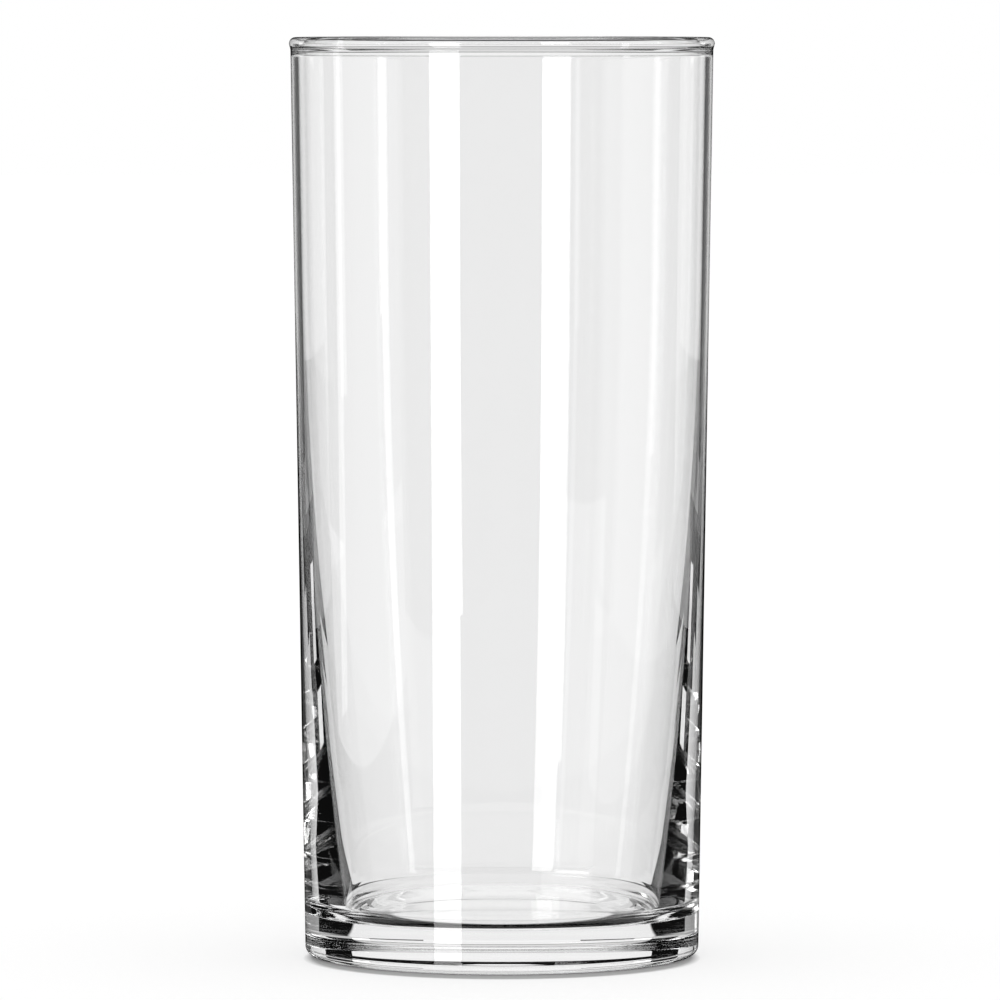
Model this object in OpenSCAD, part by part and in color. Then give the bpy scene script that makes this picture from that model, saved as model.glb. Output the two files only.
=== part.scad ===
// Zombie glass: a tall straight-sided bar tumbler, one piece of clear pressed-and-blown glass.
// The whole glass is a single revolve about Z. It stands on z = 0 with its axis on the origin.
// Its section is drawn in the (radius, height) plane from straight tapers and true arcs: heel,
// outer wall, bead, inner wall, bowl side, bowl corner, floor and the hollow under the base.
// The wall is thin in the upper quarter and thickens along half an ellipse down to the heavy base.

/* [Overall] */
// Height from the table to the top of the lip
height = 146; // [120:0.5:180]
// Outside diameter that the wall's taper reaches at the top
mouth_d = 67.1; // [56:0.1:80]
// Outside diameter that the wall's taper would have at the table
base_d = 62.6; // [52:0.1:76]

/* [Lip] */
// Thickness of the rounded bead round the mouth
bead_t = 2.0; // [1.8:0.1:3]
// How far the bead stands out of the outer wall
bead_out = 0.2; // [0.1:0.05:0.4]
// Radius of the hollow that blends the bead into the wall on each side
bead_blend_r = 2.2; // [1:0.1:4]

/* [Wall] */
// Wall thickness at the lip
wall_lip = 1.15; // [1:0.05:1.4]
// Wall thickness at the shoulder, where the wall starts to thicken
wall_shoulder = 1.15; // [1:0.05:1.6]
// Height of the shoulder above the table
shoulder_h = 110; // [100:1:114]
// Inside diameter that the bowl's side would reach at the table, below the floor
bowl_foot_d = 49; // [46:0.2:52]

/* [Base] */
// Height of the middle of the floor above the table
floor_h = 5.9; // [5:0.1:8]
// How far the dished floor rises from its middle to its edge
floor_dish = 0.5; // [0.3:0.1:1]
// Radius of the bowl's corner
bowl_corner_r = 3; // [2:0.1:5]
// Radius of the heel between the side and the underside
heel_r = 1.6; // [1.2:0.1:3]
// Width of the flat ring that the glass stands on
ring_w = 3; // [2:0.5:5]
// Height of the hollow under the base, inside that ring
pushup_h = 1.0; // [0.5:0.1:2]

/* [Hidden] */
$fn = 180;
glass_tint = [0.90, 0.92, 0.92, 0.35];
// Arcs are this much larger than a pure tangent arc, so that they cross the runs they blend into
bite = 0.002;

mouth_r = mouth_d / 2;
base_r = base_d / 2;
bead_r = bead_t / 2;

// Directions and touching points in the section plane
function unit(v) = v / norm(v);
function touch(from, to, r) = to + r * unit(to - from);

// The lower crossing of a circle with the line through a point along a unit direction
function lowest_on(point, way, centre, r) =
    let (gap = point - centre,
         half = gap * way,
         rest = gap * gap - pow(r, 2))
    point - (half + sqrt(pow(half, 2) - rest)) * way;

// Outer and inner wall: straight tapers, read as a radius at a height
function outer_r(z) = base_r + (mouth_r - base_r) * z / height;
inner_shoulder_r = outer_r(shoulder_h) - wall_shoulder;
inner_mouth_r = mouth_r - wall_lip;
inner_slope = (inner_mouth_r - inner_shoulder_r) / (height - shoulder_h);
function inner_r(z) = inner_shoulder_r + inner_slope * (z - shoulder_h);
outer_lean = atan((mouth_r - base_r) / height);
inner_lean = atan(inner_slope);
outer_normal = [cos(outer_lean), -sin(outer_lean)];
inner_normal = [-cos(inner_lean), sin(inner_lean)];

// Heel: touches the table and the outer wall
heel_c = [base_r - heel_r * (1 - sin(outer_lean)) / cos(outer_lean), heel_r];
heel_foot = [heel_c.x, 0];
heel_side = heel_c + heel_r * outer_normal;

// Underside: a flat ring inside the heel, and a shallow spherical hollow inside the ring
ring_inner_r = heel_foot.x - ring_w;
pushup_r = (pow(ring_inner_r, 2) + pow(pushup_h, 2)) / (2 * pushup_h);

// Bowl side: an ellipse centred on the axis that leaves the inner wall smoothly at the shoulder.
// Its squared radius drops by side_fall for each squared millimetre under the ellipse's centre.
shoulder = [inner_shoulder_r, shoulder_h];
side_lean = inner_shoulder_r * inner_slope;
foot_drop = pow(inner_shoulder_r, 2) - pow(bowl_foot_d / 2, 2);
side_fall = (foot_drop / shoulder_h - 2 * side_lean) / shoulder_h;
side_c = [0, shoulder_h + side_lean / side_fall];
side_half_w = sqrt(pow(inner_shoulder_r, 2) + side_fall * pow(side_c.y - shoulder_h, 2));
side_half_h = side_half_w / sqrt(side_fall);
function side_r(z) = sqrt(pow(side_half_w, 2) - side_fall * pow(side_c.y - z, 2));

// Floor: a wide dish centred on the axis
floor_edge_r = inner_shoulder_r - 3 * bowl_corner_r;
floor_r = (pow(floor_edge_r, 2) + pow(floor_dish, 2)) / (2 * floor_dish);
floor_c = [0, floor_h + floor_r];

// Corner: an arc that touches the floor, and the side where the two meet
corner_h = floor_h + floor_dish + bowl_corner_r;
corner_lean = atan(side_fall * (side_c.y - corner_h) / side_r(corner_h));
corner_normal = [-cos(corner_lean), sin(corner_lean)];
corner_line = [side_r(corner_h), corner_h] + bowl_corner_r * corner_normal;
corner_c = lowest_on(corner_line, [sin(corner_lean), cos(corner_lean)], floor_c, floor_r - bowl_corner_r);
corner_side = corner_c - bowl_corner_r * corner_normal;
corner_floor = touch(floor_c, corner_c, bowl_corner_r);

// Lip: a full-round bead whose centre sits one bead radius under the top
bead_c = [mouth_r + bead_out - bead_r, height - bead_r];

// What a rounded corner takes off: the wedge from the arc's centre past its two ends, less the arc
module rounding(centre, r, a, b) {
    difference() {
        polygon([centre, 2 * a - centre, 2 * (a + b) - 3 * centre, 2 * b - centre]);
        translate(centre) circle(r);
    }
}

// Section of the glass as if it were solid, up to the middle of the bead
module outer_section() {
    difference() {
        polygon([[0, 0], [base_r, 0], [outer_r(bead_c.y), bead_c.y], [0, bead_c.y]]);
        rounding(heel_c, heel_r + bite, heel_foot, heel_side);
    }
}

// Section of the space that holds the drink
module bowl_section() {
    difference() {
        intersection() {
            polygon([[0, 0], [inner_r(0), 0], [inner_r(height), height], [0, height]]);
            translate(floor_c) circle(floor_r);
        }
        difference() {
            polygon([[0, 0], [mouth_r, 0], [mouth_r, shoulder_h], [0, shoulder_h]]);
            translate(side_c) scale([side_half_w + bite, side_half_h]) circle(1);
        }
        rounding(corner_c, bowl_corner_r + 2 * bite, corner_floor, corner_side);
    }
}

// Section of the hollow under the base
module pushup_section() {
    translate([0, pushup_h - pushup_r]) circle(pushup_r);
}

// Glass that fills the nook between the bead and one face of the wall, hollowed to a blend.
// normal points out of that face, and wall is a point on it.
module bead_blend(normal, wall) {
    down = [normal.y, -normal.x] * sign(normal.x);
    reach = bead_r + bead_blend_r;
    across = bead_blend_r - (bead_c - wall) * normal;
    blend_c = bead_c + across * normal + sqrt(pow(reach, 2) - pow(across, 2)) * down;
    foot = blend_c - bead_blend_r * normal;
    nook = [bead_c, foot - bead_r / 4 * normal, foot, touch(bead_c, blend_c, -bead_blend_r)];
    difference() {
        polygon(normal.x > 0 ? nook : [for (i = [3:-1:0]) nook[i]]);
        translate(blend_c) circle(bead_blend_r + bite);
    }
}

// The one piece of glass: its section turned about the axis
module tumbler() {
    color(glass_tint) rotate_extrude() {
        difference() {
            outer_section();
            bowl_section();
            pushup_section();
        }
        translate(bead_c) circle(bead_r);
        bead_blend(outer_normal, [outer_r(bead_c.y), bead_c.y]);
        bead_blend(inner_normal, [inner_r(bead_c.y), bead_c.y]);
    }
}

tumbler();
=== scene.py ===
"""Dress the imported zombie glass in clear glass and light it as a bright-field studio shot."""
from __future__ import annotations

import logging
import math
from dataclasses import dataclass, replace
from enum import Enum
from typing import Any

import bpy
from mathutils import Matrix, Vector

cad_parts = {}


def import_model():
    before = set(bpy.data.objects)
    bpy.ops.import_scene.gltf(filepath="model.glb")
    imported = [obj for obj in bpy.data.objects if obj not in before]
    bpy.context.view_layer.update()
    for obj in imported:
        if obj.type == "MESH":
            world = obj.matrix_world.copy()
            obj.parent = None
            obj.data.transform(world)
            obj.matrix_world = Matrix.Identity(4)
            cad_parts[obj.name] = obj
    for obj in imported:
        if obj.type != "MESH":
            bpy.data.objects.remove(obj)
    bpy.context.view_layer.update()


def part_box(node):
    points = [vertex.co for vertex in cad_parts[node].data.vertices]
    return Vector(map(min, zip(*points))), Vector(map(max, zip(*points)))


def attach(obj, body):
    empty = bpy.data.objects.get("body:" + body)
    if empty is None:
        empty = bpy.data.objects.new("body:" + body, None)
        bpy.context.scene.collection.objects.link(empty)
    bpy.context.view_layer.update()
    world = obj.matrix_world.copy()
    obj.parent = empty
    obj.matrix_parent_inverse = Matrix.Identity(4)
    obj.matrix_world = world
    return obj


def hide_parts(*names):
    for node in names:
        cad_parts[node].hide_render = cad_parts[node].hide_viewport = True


LOG = logging.getLogger("zombie_glass")
MM = 0.001
WHITE = "#FFFFFF"


def linear_rgba(hex_colour: str) -> tuple[float, float, float, float]:
    """Turn an sRGB hex colour into a linear one.

    Args:
        hex_colour: Six hex digits, with or without a leading #.

    Returns:
        Linear red, green and blue, fully opaque.
    """
    digits = hex_colour.lstrip("#")
    channels = [int(digits[i:i + 2], 16) / 255 for i in (0, 2, 4)]
    red, green, blue = (c / 12.92 if c <= 0.04045 else ((c + 0.055) / 1.055) ** 2.4 for c in channels)
    return red, green, blue, 1.0


def add_node(tree: bpy.types.NodeTree, kind: str, settings: dict[str, Any] | None = None,
             inputs: dict[int | str, Any] | None = None) -> bpy.types.Node:
    """Add a node with its settings, values and links.

    Args:
        tree: Tree that gets the node.
        kind: Blender's class name of the node.
        settings: Properties to set on the node itself.
        inputs: Input socket to value, or to the output socket that feeds it.

    Returns:
        The new node.
    """
    node = tree.nodes.new(kind)
    for name, value in (settings or {}).items():
        setattr(node, name, value)
    for key, value in (inputs or {}).items():
        if isinstance(value, bpy.types.NodeSocket):
            tree.links.new(value, node.inputs[key])
        else:
            node.inputs[key].default_value = value
    return node


class Face(Enum):
    """The two faces of the wall: the sign is the way that the face looks, along the radius."""

    OUTER = 1
    INNER = -1


@dataclass(frozen=True)
class Arc:
    """Part of a circle in the section plane, between two of its points."""

    centre: Vector
    start: Vector
    end: Vector

    def points(self, step: float) -> list[Vector]:
        """Give the arc's points, the short way round, both ends included.

        Args:
            step: Largest angle between two points, in radians.

        Returns:
            Points from start to end.
        """
        arm = self.start - self.centre
        reach = self.end - self.centre
        sweep = math.atan2(arm.x * reach.y - arm.y * reach.x, arm.dot(reach))
        count = max(2, math.ceil(abs(sweep) / step))
        return [self.centre + Matrix.Rotation(sweep * i / count, 2) @ arm for i in range(count + 1)]


def run(start: Vector, end: Vector, step: float, guard: float = 0.2 * MM) -> list[Vector]:
    """Give evenly spaced points on a straight run, both ends included, and one more close to each end.

    The close ones keep the smooth shading true to the run, right up to the arcs that it meets.

    Args:
        start: First point.
        end: Last point.
        step: Largest distance between two points.
        guard: Distance of the close points from the ends.

    Returns:
        Points from start to end.
    """
    length = (end - start).length
    count = max(1, math.ceil(length / step))
    shares = [i / count for i in range(count + 1)] + [guard / length, 1 - guard / length]
    return [start.lerp(end, share) for share in sorted(shares)]


def lowest_on(point: Vector, way: Vector, centre: Vector, radius: float) -> Vector:
    """Find the lower crossing of a circle with the line through a point.

    Args:
        point: Any point on the line.
        way: Unit direction of the line, upwards.
        centre: Centre of the circle.
        radius: Its radius.

    Returns:
        The crossing point.
    """
    gap = point - centre
    half = gap.dot(way)
    return point - (half + math.sqrt(half ** 2 - gap.length_squared + radius ** 2)) * way


@dataclass(frozen=True)
class GlassSection:
    """Half section of the glass in the (radius, height) plane, in metres, and the steps to draw it in."""

    height: float
    lip_r: float
    base_r: float = 31.3 * MM
    bead_r: float = 1.0 * MM
    bead_out: float = 0.2 * MM
    bead_blend_r: float = 2.2 * MM
    wall_lip: float = 1.15 * MM
    wall_shoulder: float = 1.15 * MM
    shoulder_h: float = 110 * MM
    bowl_foot_r: float = 24.5 * MM
    floor_h: float = 5.9 * MM
    floor_dish: float = 0.5 * MM
    bowl_corner_r: float = 3.0 * MM
    heel_r: float = 1.6 * MM
    ring_w: float = 3.0 * MM
    pushup_h: float = 1.0 * MM
    outer_step: float = 4.0 * MM
    inner_step: float = 2.0 * MM
    arc_step: float = math.radians(3)
    hollow_step: float = math.radians(0.5)
    floor_step: float = math.radians(0.15)

    @property
    def mouth_r(self) -> float:
        """Outer wall's radius at the top, inside the bead's bulge."""
        return self.lip_r - self.bead_out

    @property
    def outer_slope(self) -> float:
        """Radius that the outer wall gains for each metre of height."""
        return (self.mouth_r - self.base_r) / self.height

    @property
    def shoulder(self) -> Vector:
        """Point of the inner wall where the bowl starts to round in."""
        outer_r = self.base_r + self.outer_slope * self.shoulder_h
        return Vector((outer_r - self.wall_shoulder, self.shoulder_h))

    @property
    def inner_slope(self) -> float:
        """Radius that the inner wall gains for each metre of height."""
        return (self.mouth_r - self.wall_lip - self.shoulder.x) / (self.height - self.shoulder_h)

    @property
    def side_fall(self) -> float:
        """Drop of the bowl side's squared radius for each squared metre under its ellipse's centre."""
        lean = self.shoulder.x * self.inner_slope
        drop = self.shoulder.x ** 2 - self.bowl_foot_r ** 2
        return (drop / self.shoulder_h - 2 * lean) / self.shoulder_h

    @property
    def side_centre_h(self) -> float:
        """Height of the centre of the bowl side's ellipse, which leaves the inner wall smoothly."""
        return self.shoulder_h + self.shoulder.x * self.inner_slope / self.side_fall

    @property
    def bead_centre(self) -> Vector:
        """Centre of the bead's round section."""
        return Vector((self.lip_r - self.bead_r, self.height - self.bead_r))

    def wall_normal(self, face: Face) -> Vector:
        """Give the unit normal that points out of the glass from one face of the wall."""
        slope = self.outer_slope if face is Face.OUTER else self.inner_slope
        return face.value * Vector((1, -slope)).normalized()

    def wall_point(self, face: Face, height: float) -> Vector:
        """Give the point on one face of the wall at a height.

        Args:
            face: Face of the wall.
            height: Height above the table.

        Returns:
            The point in the section plane.
        """
        if face is Face.OUTER:
            return Vector((self.base_r + self.outer_slope * height, height))
        return Vector((self.shoulder.x + self.inner_slope * (height - self.shoulder_h), height))

    def side_point(self, height: float) -> Vector:
        """Give the point of the bowl's side at a height."""
        peak = self.shoulder.x ** 2 + self.side_fall * (self.side_centre_h - self.shoulder_h) ** 2
        return Vector((math.sqrt(peak - self.side_fall * (self.side_centre_h - height) ** 2), height))

    def bead_blend(self, face: Face) -> Arc:
        """Work out the hollow arc between one face of the wall and the bead.

        Args:
            face: Face of the wall that the arc blends into.

        Returns:
            Arc from the wall to the bead.
        """
        normal = self.wall_normal(face)
        down = face.value * Vector((normal.y, -normal.x))
        bead = self.bead_centre
        reach = self.bead_r + self.bead_blend_r
        across = self.bead_blend_r - (bead - self.wall_point(face, bead.y)).dot(normal)
        centre = bead + across * normal + math.sqrt(reach ** 2 - across ** 2) * down
        foot = centre - self.bead_blend_r * normal
        return Arc(centre, foot, centre + self.bead_blend_r * (bead - centre).normalized())

    def underside(self) -> list[Vector]:
        """Draw the hollow under the base, the standing ring and the heel.

        Returns:
            Points from the axis outwards.
        """
        normal = self.wall_normal(Face.OUTER)
        heel_x = self.base_r - self.heel_r * (1 + normal.y) / normal.x
        heel_centre = Vector((heel_x, self.heel_r))
        painted_shadow_ring_inner = Vector((heel_x - self.ring_w, 0))
        pushup_r = (painted_shadow_ring_inner.x ** 2 + self.pushup_h ** 2) / (2 * self.pushup_h)
        hollow = Arc(Vector((0, self.pushup_h - pushup_r)), Vector((0, self.pushup_h)), painted_shadow_ring_inner)
        heel = Arc(heel_centre, Vector((heel_x, 0)), heel_centre + self.heel_r * normal)
        ring = run(painted_shadow_ring_inner, heel.start, self.ring_w)
        return hollow.points(self.hollow_step) + ring[1:-1] + heel.points(self.arc_step)

    def lip(self) -> list[Vector]:
        """Draw the bead and its two blends.

        Returns:
            Points from the outer wall over the top to the inner wall.
        """
        outer = self.bead_blend(Face.OUTER)
        inner = self.bead_blend(Face.INNER)
        top = self.bead_centre + Vector((0, self.bead_r))
        over = Arc(self.bead_centre, outer.end, top).points(self.arc_step)
        over += Arc(self.bead_centre, top, inner.end).points(self.arc_step)[1:]
        return outer.points(self.arc_step) + over[1:-1] + inner.points(self.arc_step)[::-1]

    def bowl(self) -> list[Vector]:
        """Draw the bowl's side, corner and dished floor.

        Returns:
            Points from the shoulder to the axis.
        """
        # The dish is measured three corner radii inside the shoulder
        floor_edge = self.shoulder.x - 3 * self.bowl_corner_r
        floor_r = (floor_edge ** 2 + self.floor_dish ** 2) / (2 * self.floor_dish)
        floor_centre = Vector((0, self.floor_h + floor_r))
        meeting = self.side_point(self.floor_h + self.floor_dish + self.bowl_corner_r)
        slope = self.side_fall * (self.side_centre_h - meeting.y) / meeting.x
        normal = Vector((-1, slope)).normalized()
        corner_centre = lowest_on(meeting + self.bowl_corner_r * normal, Vector((slope, 1)).normalized(),
                                  floor_centre, floor_r - self.bowl_corner_r)
        corner_side = corner_centre - self.bowl_corner_r * normal
        corner_floor = corner_centre + self.bowl_corner_r * (corner_centre - floor_centre).normalized()
        heights = run(self.shoulder, corner_side, self.inner_step)
        side = [self.side_point(place.y) for place in heights[:-1]]
        corner = Arc(corner_centre, corner_side, corner_floor).points(self.arc_step)
        floor = Arc(floor_centre, corner_floor, Vector((0, self.floor_h))).points(self.floor_step)
        return side + corner + floor[1:]

    def outline(self) -> list[Vector]:
        """Draw the whole half section.

        Returns:
            Points from the axis under the base, over the lip, to the axis on the floor.
        """
        underside = self.underside()
        lip = self.lip()
        bowl = self.bowl()
        outer_wall = run(underside[-1], lip[0], self.outer_step)
        inner_wall = run(lip[-1], bowl[0], self.inner_step)
        return underside + outer_wall[1:-1] + lip + inner_wall[1:-1] + bowl


# Clear, with a hard polished gloss: it gives long sharp streaks, whose edges waver a little
@dataclass(frozen=True)
class ClearGlass:
    """Soda-lime glass, pressed and blown, then fire-polished.

    A faint ripple from the forming bends the edges of the long reflections. Its lengths are in metres.
    """

    name: str = "soda_lime_glass_fire_polished"
    tint: str = "#FEFEFE"
    ior: float = 1.52
    ripple_across: float = 16 * MM
    ripple_along: float = 70 * MM
    ripple_depth: float = 0.012 * MM
    ripple_detail: float = 1.0
    ripple_roughness: float = 0.4

    def material(self) -> bpy.types.Material:
        """Build the material.

        Returns:
            A new transmissive material.
        """
        material = bpy.data.materials.new(self.name)
        material.use_nodes = True
        tree = material.node_tree
        tree.nodes.clear()
        place = add_node(tree, "ShaderNodeTexCoord").outputs["Object"]
        stretched = add_node(tree, "ShaderNodeVectorMath", {"operation": "DIVIDE"}, {
            0: place, 1: (self.ripple_across, self.ripple_across, self.ripple_along)})
        ripple = add_node(tree, "ShaderNodeTexNoise", inputs={
            "Vector": stretched.outputs[0], "Scale": 1.0,
            "Detail": self.ripple_detail, "Roughness": self.ripple_roughness})
        bent = add_node(tree, "ShaderNodeBump", inputs={
            "Strength": 1.0, "Distance": self.ripple_depth, "Height": ripple.outputs[0]})
        shader = add_node(tree, "ShaderNodeBsdfPrincipled", inputs={
            "Base Color": linear_rgba(self.tint), "Roughness": 0.0, "IOR": self.ior,
            "Transmission Weight": 1.0, "Normal": bent.outputs[0]})
        add_node(tree, "ShaderNodeOutputMaterial", inputs={"Surface": shader.outputs["BSDF"]})
        return material


@dataclass(frozen=True)
class Tumbler:
    """The one piece of glass: a section turned about the axis."""

    section: GlassSection
    glass: ClearGlass
    segments: int = 288
    weld_distance: float = 0.001 * MM

    def section_curve(self) -> bpy.types.Object:
        """Put the half section into the scene as a curve in the XZ plane.

        Returns:
            The curve object.
        """
        outline = self.section.outline()
        curve = bpy.data.curves.new("glass_section", "CURVE")
        curve.dimensions = "3D"
        spline = curve.splines.new("POLY")
        spline.points.add(len(outline) - 1)
        for point, place in zip(spline.points, outline):
            point.co = (place.x, 0, place.y, 1)
        holder = bpy.data.objects.new("glass_section", curve)
        bpy.context.scene.collection.objects.link(holder)
        return holder

    def turning_tree(self, material: bpy.types.Material) -> bpy.types.NodeTree:
        """Build the node tree that turns a section curve about Z into a closed skin.

        The skin starts as a flat grid: each row takes its place from a point of the section, and each
        column is turned a step further. The seam and the two poles are then welded.

        Args:
            material: Material of the skin.

        Returns:
            The tree, with inputs for the number of segments and the weld distance.
        """
        tree = bpy.data.node_groups.new("turned_section", "GeometryNodeTree")
        tree.interface.new_socket("Section", in_out="INPUT", socket_type="NodeSocketGeometry")
        tree.interface.new_socket("Segments", in_out="INPUT", socket_type="NodeSocketInt")
        tree.interface.new_socket("Weld distance", in_out="INPUT", socket_type="NodeSocketFloat")
        tree.interface.new_socket("Glass", in_out="OUTPUT", socket_type="NodeSocketGeometry")
        given = add_node(tree, "NodeGroupInput")
        size = add_node(tree, "GeometryNodeAttributeDomainSize", {"component": "CURVE"}, {
            "Geometry": given.outputs["Section"]})
        rings = size.outputs["Point Count"]
        columns = add_node(tree, "ShaderNodeMath", {"operation": "ADD"}, {
            0: given.outputs["Segments"], 1: 1.0})
        grid = add_node(tree, "GeometryNodeMeshGrid", inputs={
            "Vertices X": columns.outputs[0], "Vertices Y": rings})
        index = add_node(tree, "GeometryNodeInputIndex").outputs[0]
        ring = add_node(tree, "ShaderNodeMath", {"operation": "MODULO"}, {0: index, 1: rings})
        quotient = add_node(tree, "ShaderNodeMath", {"operation": "DIVIDE"}, {0: index, 1: rings})
        column = add_node(tree, "ShaderNodeMath", {"operation": "FLOOR"}, {0: quotient.outputs[0]})
        turn = add_node(tree, "ShaderNodeMath", {"operation": "DIVIDE"}, {
            0: column.outputs[0], 1: given.outputs["Segments"]})
        angle = add_node(tree, "ShaderNodeMath", {"operation": "MULTIPLY"}, {
            0: turn.outputs[0], 1: math.tau})
        place = add_node(tree, "GeometryNodeInputPosition").outputs[0]
        sample = add_node(tree, "GeometryNodeSampleIndex", {
            "data_type": "FLOAT_VECTOR", "domain": "POINT"}, {
            "Geometry": given.outputs["Section"], "Value": place, "Index": ring.outputs[0]})
        turned = add_node(tree, "ShaderNodeVectorRotate", {"rotation_type": "Z_AXIS"}, {
            "Vector": sample.outputs[0], "Angle": angle.outputs[0]})
        placed = add_node(tree, "GeometryNodeSetPosition", inputs={
            "Geometry": grid.outputs["Mesh"], "Position": turned.outputs[0]})
        closed = add_node(tree, "GeometryNodeMergeByDistance", inputs={
            "Geometry": placed.outputs[0], "Distance": given.outputs["Weld distance"]})
        smooth = add_node(tree, "GeometryNodeSetShadeSmooth", inputs={"Geometry": closed.outputs[0]})
        real = add_node(tree, "GeometryNodeRealizeInstances", inputs={"Geometry": smooth.outputs[0]})
        dressed = add_node(tree, "GeometryNodeSetMaterial", inputs={
            "Geometry": real.outputs[0], "Material": material})
        add_node(tree, "NodeGroupOutput", inputs={"Glass": dressed.outputs[0]})
        return tree

    def build(self) -> bpy.types.Object:
        """Turn the section into a plain mesh object with its glass on.

        Returns:
            The finished piece.
        """
        holder = self.section_curve()
        modifier = holder.modifiers.new("turn", "NODES")
        glass = self.glass.material()
        tree = self.turning_tree(glass)
        modifier.node_group = tree
        sizes = {"Segments": self.segments, "Weld distance": self.weld_distance}
        for name, value in sizes.items():
            modifier[tree.interface.items_tree[name].identifier] = value
        graph = bpy.context.evaluated_depsgraph_get()
        mesh = bpy.data.meshes.new_from_object(holder.evaluated_get(graph))
        mesh.materials.clear()
        mesh.materials.append(glass)
        bpy.data.objects.remove(holder)
        piece = bpy.data.objects.new("tumbler_glass", mesh)
        bpy.context.scene.collection.objects.link(piece)
        return piece


class SeenIn(Enum):
    """Which kind of light path a card shows in."""

    BOTH = 1
    REFLECTION = 2
    REFRACTION = 3


class LampShape(Enum):
    """Outline of a lamp: the value is the share of its bounding rectangle that it fills."""

    RECTANGLE = 1.0
    DISK = math.pi / 4


def area_lamp(name: str, width: float, height: float, level: float,
              shape: LampShape = LampShape.RECTANGLE) -> bpy.types.Object:
    """Make a glowing shape that shows in the glass only, not to the camera or on the floor.

    Args:
        name: Name of the lamp.
        width: Its width, in metres.
        height: Its height, in metres.
        level: Brightness, in units of plain white.
        shape: Its outline.

    Returns:
        The lamp, at the origin and facing down.
    """
    data = bpy.data.lights.new(name, "AREA")
    data.shape = shape.name
    data.size = width
    data.size_y = height
    data.energy = level * math.pi * width * height * shape.value
    lamp = bpy.data.objects.new(name, data)
    bpy.context.scene.collection.objects.link(lamp)
    lamp.visible_camera = False
    lamp.visible_diffuse = False
    return lamp


@dataclass(frozen=True)
class LightCard:
    """A glowing card that the glass reflects and refracts, with angles in degrees, as seen from the glass.

    Attributes:
        name: Name of its lamp.
        azimuth: Direction of its middle, from the camera and positive to the camera's right.
        width: How wide it looks.
        low: Elevation of its lower edge.
        high: Elevation of its upper edge.
        level: Brightness, in units of plain white.
        seen: Kind of light path that it shows in.
        away: Distance from the axis, in metres.
    """

    name: str
    azimuth: float
    width: float
    low: float
    high: float
    level: float = 1.0
    seen: SeenIn = SeenIn.BOTH
    away: float = 8.0

    def pair(self) -> tuple[LightCard, LightCard]:
        """Give the card's mirror image on the left, and the card itself on the right."""
        left = replace(self, name=f"left_{self.name}", azimuth=-self.azimuth)
        return left, replace(self, name=f"right_{self.name}")

    def build(self, eye_h: float) -> None:
        """Hang the card, facing the glass, at its distance from the axis.

        Args:
            eye_h: Height on the axis from which the angles are taken, in metres.
        """
        bottom = self.away * math.tan(math.radians(self.low))
        top = self.away * math.tan(math.radians(self.high))
        width = 2 * self.away * math.tan(math.radians(self.width / 2))
        lamp = area_lamp(self.name, width, top - bottom, self.level)
        lamp.visible_glossy = self.seen is not SeenIn.REFRACTION
        lamp.visible_transmission = self.seen is not SeenIn.REFLECTION
        turn = math.radians(self.azimuth)
        middle_h = eye_h + (bottom + top) / 2
        lamp.location = (self.away * math.sin(turn), -self.away * math.cos(turn), middle_h)
        lamp.rotation_euler = (math.pi / 2, 0, turn)


@dataclass(frozen=True)
class UnderDisk:
    """A glowing disk under the floor, which shows only through the glass, in steep looks from above.

    Attributes:
        name: Name of its lamp.
        depth: Depth under the floor, in metres.
        width: Diameter, in metres.
        level: Brightness, in units of plain white.
    """

    name: str
    depth: float
    width: float
    level: float

    def build(self) -> None:
        """Hang the disk under the glass, facing up."""
        lamp = area_lamp(self.name, self.width, self.width, self.level, LampShape.DISK)
        lamp.location.z = -self.depth
        lamp.rotation_euler.x = math.pi
        lamp.visible_glossy = False


@dataclass(frozen=True)
class Oval:
    """A soft-edged oval on the floor, in metres.

    Attributes:
        radius: Radius of the circle that it is stretched from.
        stretch: How much that circle is stretched along X and Y.
        lean: How far its middle lies towards the camera.
    """

    radius: float
    stretch: tuple[float, float] = (1.0, 1.0)
    lean: float = 0.0

    def draw(self, tree: bpy.types.NodeTree, soft: float) -> bpy.types.NodeSocket:
        """Draw the oval in a material.

        Args:
            tree: The material's node tree.
            soft: Width of its soft edge, in metres.

        Returns:
            Output socket: 1 inside the oval and 0 outside.
        """
        place = add_node(tree, "ShaderNodeTexCoord").outputs["Object"]
        shrunk = add_node(tree, "ShaderNodeVectorMath", {"operation": "DIVIDE"}, {
            0: place, 1: (*self.stretch, 1)})
        reach = add_node(tree, "ShaderNodeVectorMath", {"operation": "DISTANCE"}, {
            0: shrunk.outputs[0], 1: (0, -self.lean / self.stretch[1], 0)})
        inside = add_node(tree, "ShaderNodeMapRange", {"interpolation_type": "SMOOTHSTEP"}, {
            "Value": reach.outputs["Value"], "From Min": self.radius - soft / 2,
            "From Max": self.radius + soft / 2, "To Min": 1.0, "To Max": 0.0})
        return inside.outputs[0]
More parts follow.
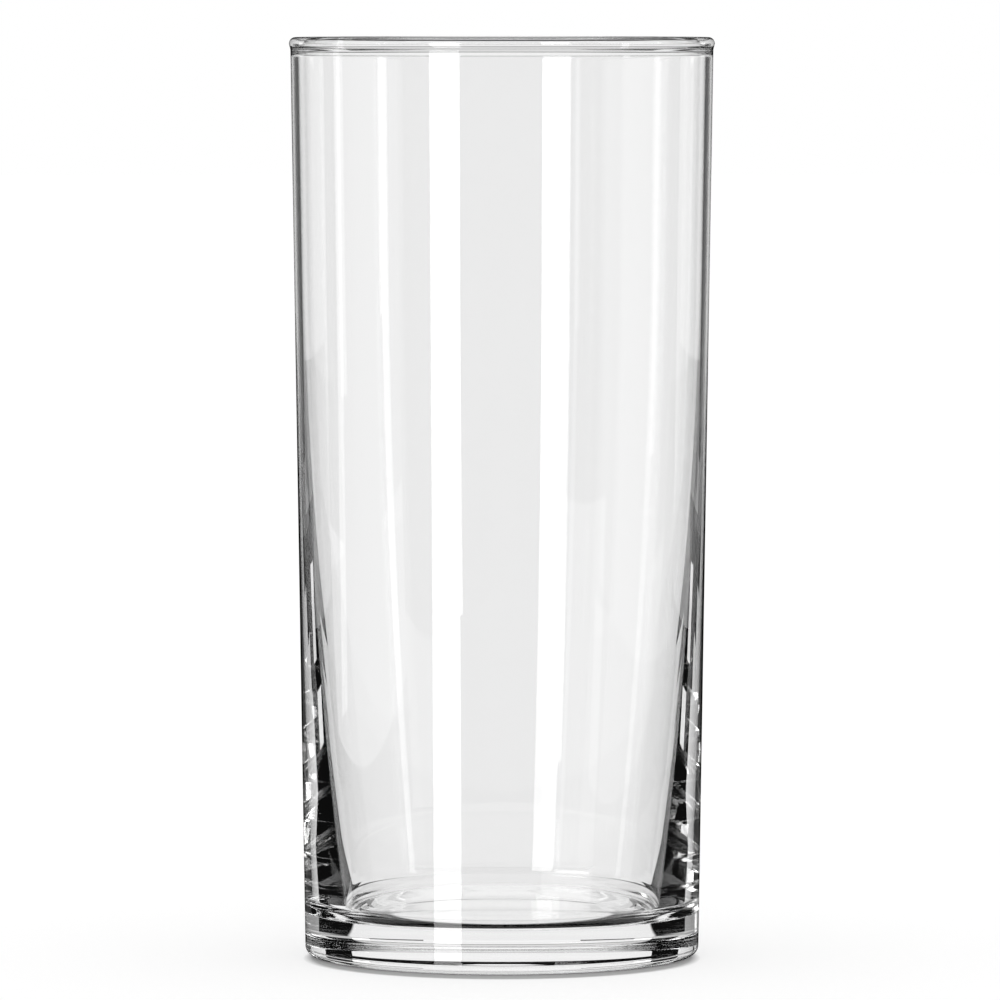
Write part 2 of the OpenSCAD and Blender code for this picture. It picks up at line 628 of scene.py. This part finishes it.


# Matt paint gives the eye plain white with no gloss, with the glass's soft shadow and a painted contact
# shadow on it
@dataclass(frozen=True)
class WhiteBoard:
    """Board with matt white paint, for the floor. Its lengths are in metres.

    The camera sees white, with the shadow of the glass and a painted contact shadow under the base. A
    reflection in the glass sees through the board to the cards. So does a refraction, apart from painted
    light: a white pool and a lane behind it glow there. A painted contact shadow, a dark ring in the pool
    where the base stands, draws the dark line round the bowl's floor.
    """

    name: str = "painted_board_matt_white"
    paint: str = "#AAAAAA"
    # Painted light: a white pool and a lane behind it glow on the floor, seen only in a refraction
    pool: Oval = Oval(37 * MM, (1.0, 1.27))
    painted_light_level: float = 0.92
    # Painted contact shadow: a dark ring in the pool, where the base stands
    painted_shadow_ring_outer: Oval = Oval(30.3 * MM, (1.089, 1.0), 3 * MM)
    painted_shadow_ring_inner: Oval = Oval(18 * MM, lean=3 * MM)
    lane_start: float = 36.5 * MM
    lane_end: float = 67 * MM
    lane_spread: float = 1.42
    soft: float = 1.5 * MM
    # Painted contact shadow: the floor's glow fades near the base, leaning towards the camera
    shade_lean: float = 5 * MM
    shade_from: float = 30 * MM
    shade_to: float = 31.7 * MM
    shade_level: float = 0.1
    glow_level: float = 0.63

    def lane(self, tree: bpy.types.NodeTree) -> bpy.types.NodeSocket:
        """Draw the lane of painted light, which widens away from the pool.

        Args:
            tree: The board's node tree.

        Returns:
            Output socket: 1 on the lane and 0 beside it.
        """
        place = add_node(tree, "ShaderNodeTexCoord").outputs["Object"]
        axes = add_node(tree, "ShaderNodeSeparateXYZ", inputs={0: place})
        aside = add_node(tree, "ShaderNodeMath", {"operation": "ABSOLUTE"}, {0: axes.outputs["X"]})
        spread = add_node(tree, "ShaderNodeMath", {"operation": "MULTIPLY"}, {
            0: aside.outputs[0], 1: self.lane_spread})
        slant = add_node(tree, "ShaderNodeMath", {"operation": "SUBTRACT"}, {
            0: spread.outputs[0], 1: axes.outputs["Y"]})
        edges = ((axes.outputs["Y"], self.lane_end), (slant.outputs[0], -self.lane_start))
        tests = [add_node(tree, "ShaderNodeMapRange", {"interpolation_type": "SMOOTHSTEP"}, {
            "Value": value, "From Min": limit - self.soft / 2, "From Max": limit + self.soft / 2,
            "To Min": 1.0, "To Max": 0.0}) for value, limit in edges]
        both = add_node(tree, "ShaderNodeMath", {"operation": "MULTIPLY"}, {
            0: tests[0].outputs[0], 1: tests[1].outputs[0]})
        return both.outputs[0]

    def refracted(self, tree: bpy.types.NodeTree, clear: bpy.types.NodeSocket) -> bpy.types.NodeSocket:
        """Shade what a refraction in the glass sees.

        Args:
            tree: The board's node tree.
            clear: Shader for the rest of the floor, around the pool and the lane.

        Returns:
            Output socket of the shader.
        """
        # Painted light: the pool and the lane glow white, seen only in a refraction
        painted_light_patch = add_node(tree, "ShaderNodeMath", {"operation": "MAXIMUM"}, {
            0: self.lane(tree), 1: self.pool.draw(tree, self.soft)})
        # Painted contact shadow: the ring where the base stands takes the pool's glow away
        ring = add_node(tree, "ShaderNodeMath", {"operation": "SUBTRACT"}, {
            0: self.painted_shadow_ring_outer.draw(tree, self.soft), 1: self.painted_shadow_ring_inner.draw(tree, self.soft)})
        bare = add_node(tree, "ShaderNodeMath", {"operation": "SUBTRACT"}, {0: 1.0, 1: ring.outputs[0]})
        brightness = add_node(tree, "ShaderNodeMath", {"operation": "MULTIPLY"}, {
            0: bare.outputs[0], 1: self.painted_light_level})
        white = add_node(tree, "ShaderNodeEmission", inputs={
            "Color": linear_rgba(WHITE), "Strength": brightness.outputs[0]})
        mixed = add_node(tree, "ShaderNodeMixShader", inputs={
            0: painted_light_patch.outputs[0], 1: clear, 2: white.outputs[0]})
        return mixed.outputs[0]

    def direct(self, tree: bpy.types.NodeTree) -> bpy.types.NodeSocket:
        """Shade what the camera sees: paint in plain light and a glow, which add up to white.

        Under the base the glow nearly fades, as a painted contact shadow, so that the glass stands in a
        dark line of contact.

        Args:
            tree: The board's node tree.

        Returns:
            Output socket of the shader.
        """
        place = add_node(tree, "ShaderNodeTexCoord").outputs["Object"]
        away = add_node(tree, "ShaderNodeVectorMath", {"operation": "DISTANCE"}, {
            0: place, 1: (0, -self.shade_lean, 0)})
        # Painted contact shadow: the glow drops to shade_level under the base
        shade = add_node(tree, "ShaderNodeMapRange", inputs={
            "Value": away.outputs["Value"], "From Min": self.shade_from, "From Max": self.shade_to,
            "To Min": self.shade_level, "To Max": self.glow_level})
        glow = add_node(tree, "ShaderNodeEmission", inputs={
            "Color": linear_rgba(WHITE), "Strength": shade.outputs[0]})
        paint = add_node(tree, "ShaderNodeBsdfDiffuse", inputs={"Color": linear_rgba(self.paint)})
        lit = add_node(tree, "ShaderNodeAddShader", inputs={0: paint.outputs[0], 1: glow.outputs[0]})
        return lit.outputs[0]

    def material(self) -> bpy.types.Material:
        """Build the material.

        Returns:
            A new material for the floor.
        """
        material = bpy.data.materials.new(self.name)
        material.use_nodes = True
        tree = material.node_tree
        tree.nodes.clear()
        path = add_node(tree, "ShaderNodeLightPath")
        clear = add_node(tree, "ShaderNodeBsdfTransparent").outputs[0]
        reflected = add_node(tree, "ShaderNodeMixShader", inputs={
            0: path.outputs["Is Glossy Ray"], 1: self.direct(tree), 2: clear})
        mixed = add_node(tree, "ShaderNodeMixShader", inputs={
            0: path.outputs["Is Transmission Ray"], 1: reflected.outputs[0],
            2: self.refracted(tree, clear)})
        add_node(tree, "ShaderNodeOutputMaterial", inputs={"Surface": mixed.outputs[0]})
        return material


@dataclass(frozen=True)
class Studio:
    """Camera, floor, surroundings and lights of the bright-field shot, in metres."""

    camera_back: float = 1.4
    camera_h: float = 0.153
    aim: tuple[float, float, float] = (-0.0003, 0.0, 0.0725)
    frame_w: float = 0.159
    sensor_mm: float = 36.0
    bounces: int = 24
    floor_half: float = 6.0
    floor_gap: float = 0.05 * MM
    board: WhiteBoard = WhiteBoard()
    dark_level: float = 0.004
    overhead_h: float = 4.0
    overhead_w: float = 6.7
    disks: tuple[UnderDisk, ...] = (
        UnderDisk("under_wide", 4.0, 11.0, 0.357),
        UnderDisk("under_deep", 3.9, 6.5, 0.56),
    )
    cards: tuple[LightCard, ...] = (
        # White field behind the glass, whose steps draw the wedge in the thick lower wall
        LightCard("back_low", 180, 32, -10.4, 0.6, 0.99, SeenIn.REFRACTION),
        LightCard("back_mid", 180, 42, -12.2, -10.4, 0.97, SeenIn.REFRACTION),
        LightCard("back_floor", 180, 50, -14.2, -12.2, 0.96, SeenIn.REFRACTION),
        LightCard("back_floor_low", 180, 54, -17.5, -14.2, 0.96, SeenIn.REFRACTION),
        LightCard("back_floor_deep", 180, 32, -24, -17.5, 0.96, SeenIn.REFRACTION),
        # Upper field, which the base shows: the gap in it draws a dark line along the bottom edge
        LightCard("back_high", 180, 76, 0.6, 11.3, 0.95, SeenIn.REFRACTION),
        LightCard("back_top", 180, 76, 13.4, 50, 0.72, SeenIn.REFRACTION),
        # Dim cards in the gaps beside the field, which keep the wall's dark outlines from turning black
        *LightCard("gap", 156.5, 15, -8.5, 0.6, 0.1).pair(),
        # Light inside those outlines, and the white streaks in the thick lower wall
        *LightCard("wing", 134.5, 29, -4.4, 4, 0.6, SeenIn.REFRACTION).pair(),
        *LightCard("wing_edge", 146.2, 4.5, -12.2, -9.5, 1.0, SeenIn.REFRACTION).pair(),
        *LightCard("wing_low", 142, 6, -14.8, -13.1, 1.0, SeenIn.REFRACTION).pair(),
        # Light from the sides, which is also the white field of the looks from the left and the right
        LightCard("left_side_back", -113, 14, -10.4, 4, 0.45, SeenIn.REFRACTION),
        LightCard("left_side", -90, 32, -10.4, 4, 0.95, SeenIn.REFRACTION),
        LightCard("left_side_front", -67, 14, -10.4, 4, 0.45, SeenIn.REFRACTION),
        LightCard("right_side", 90, 60, -10.4, 4, 0.45, SeenIn.REFRACTION),
        LightCard("left_floor", -90, 60, -17.5, -10.4, 0.95, SeenIn.REFRACTION),
        LightCard("right_floor", 90, 60, -14, -10.4, 0.5, SeenIn.REFRACTION),
        # High light, which the corners of the base show
        *LightCard("high", 117, 18, 4, 50, 1.0, SeenIn.REFRACTION).pair(),
        # White fields of the looks from above: from the front right, and from the back left
        LightCard("back_left_floor", -131.5, 29, -36, -21, 1.0, SeenIn.REFRACTION),
        LightCard("front_right_floor", 45, 36, -26, -10, 1.0, SeenIn.REFRACTION),
        # Soft shine along the inner edges of the wall
        *LightCard("shine_edge", 140.5, 13, -3.9, 1, 0.5, SeenIn.REFLECTION).pair(),
        *LightCard("shine", 124, 20, -5, 1, 0.8, SeenIn.REFLECTION).pair(),
        # Strip lights, which draw the long streaks
        LightCard("strip_left", -31.6, 16.4, -14, 25, 5.0),
        LightCard("strip_left_faint", -44.5, 2.5, -1.5, 12, 1.0),
        LightCard("strip_left_slim", -102, 5.0, -6, 15, 1.5),
        LightCard("strip_right_slim", 73.3, 5.0, -1.62, 15, 3.0, SeenIn.REFRACTION, 40.0),
    )

    def camera(self) -> None:
        """Place the camera at the photograph's viewing angle."""
        data = bpy.data.cameras.new("camera")
        data.sensor_width = self.sensor_mm
        camera = bpy.data.objects.new("camera", data)
        bpy.context.scene.collection.objects.link(camera)
        camera.location = (self.aim[0], -self.camera_back, self.camera_h)
        look = Vector(self.aim) - camera.location
        camera.rotation_euler = look.to_track_quat("-Z", "Y").to_euler()
        data.lens = self.sensor_mm * look.length / self.frame_w
        bpy.context.scene.camera = camera

    def floor(self) -> None:
        """Lay the floor, just clear of the base."""
        half = self.floor_half
        corners = [(-half, -half, 0), (half, -half, 0), (half, half, 0), (-half, half, 0)]
        mesh = bpy.data.meshes.new("floor")
        mesh.from_pydata(corners, [], [(0, 1, 2, 3)])
        mesh.materials.append(self.board.material())
        floor = bpy.data.objects.new("floor", mesh)
        floor.location.z = -self.floor_gap
        bpy.context.scene.collection.objects.link(floor)

    def surroundings(self) -> None:
        """Set the world: white light for the camera and the floor, and dark between the cards."""
        world = bpy.data.worlds.new("studio")
        bpy.context.scene.world = world
        world.use_nodes = True
        tree = world.node_tree
        tree.nodes.clear()
        path = add_node(tree, "ShaderNodeLightPath")
        in_glass = add_node(tree, "ShaderNodeMath", {"operation": "MAXIMUM"}, {
            0: path.outputs["Is Glossy Ray"], 1: path.outputs["Is Transmission Ray"]})
        strength = add_node(tree, "ShaderNodeMapRange", inputs={
            "Value": in_glass.outputs[0], "To Min": 1.0, "To Max": self.dark_level})
        back = add_node(tree, "ShaderNodeBackground", inputs={
            "Color": linear_rgba(WHITE), "Strength": strength.outputs[0]})
        add_node(tree, "ShaderNodeOutputWorld", inputs={"Surface": back.outputs[0]})

    def build(self) -> None:
        """Set up the whole studio."""
        scene = bpy.context.scene
        scene.view_settings.view_transform = "Standard"
        scene.cycles.max_bounces = self.bounces
        scene.cycles.glossy_bounces = self.bounces
        scene.cycles.transmission_bounces = self.bounces
        self.camera()
        self.floor()
        self.surroundings()
        overhead = area_lamp("overhead", self.overhead_w, self.overhead_w, 1.0)
        overhead.location.z = self.overhead_h
        for disk in self.disks:
            disk.build()
        for card in self.cards:
            card.build(self.aim[2])


def main() -> None:
    """Load the frame, and build the glass and the studio."""
    logging.basicConfig(level=logging.INFO)
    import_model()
    low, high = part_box("tumbler")
    section = GlassSection(height=high.z - low.z, lip_r=(high.x - low.x) / 2)
    glass = Tumbler(section, ClearGlass()).build()
    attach(glass, "root")
    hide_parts("tumbler")
    LOG.info("%s: %d faces", glass.name, len(glass.data.polygons))
    Studio().build()


if __name__ == "__main__":
    main()
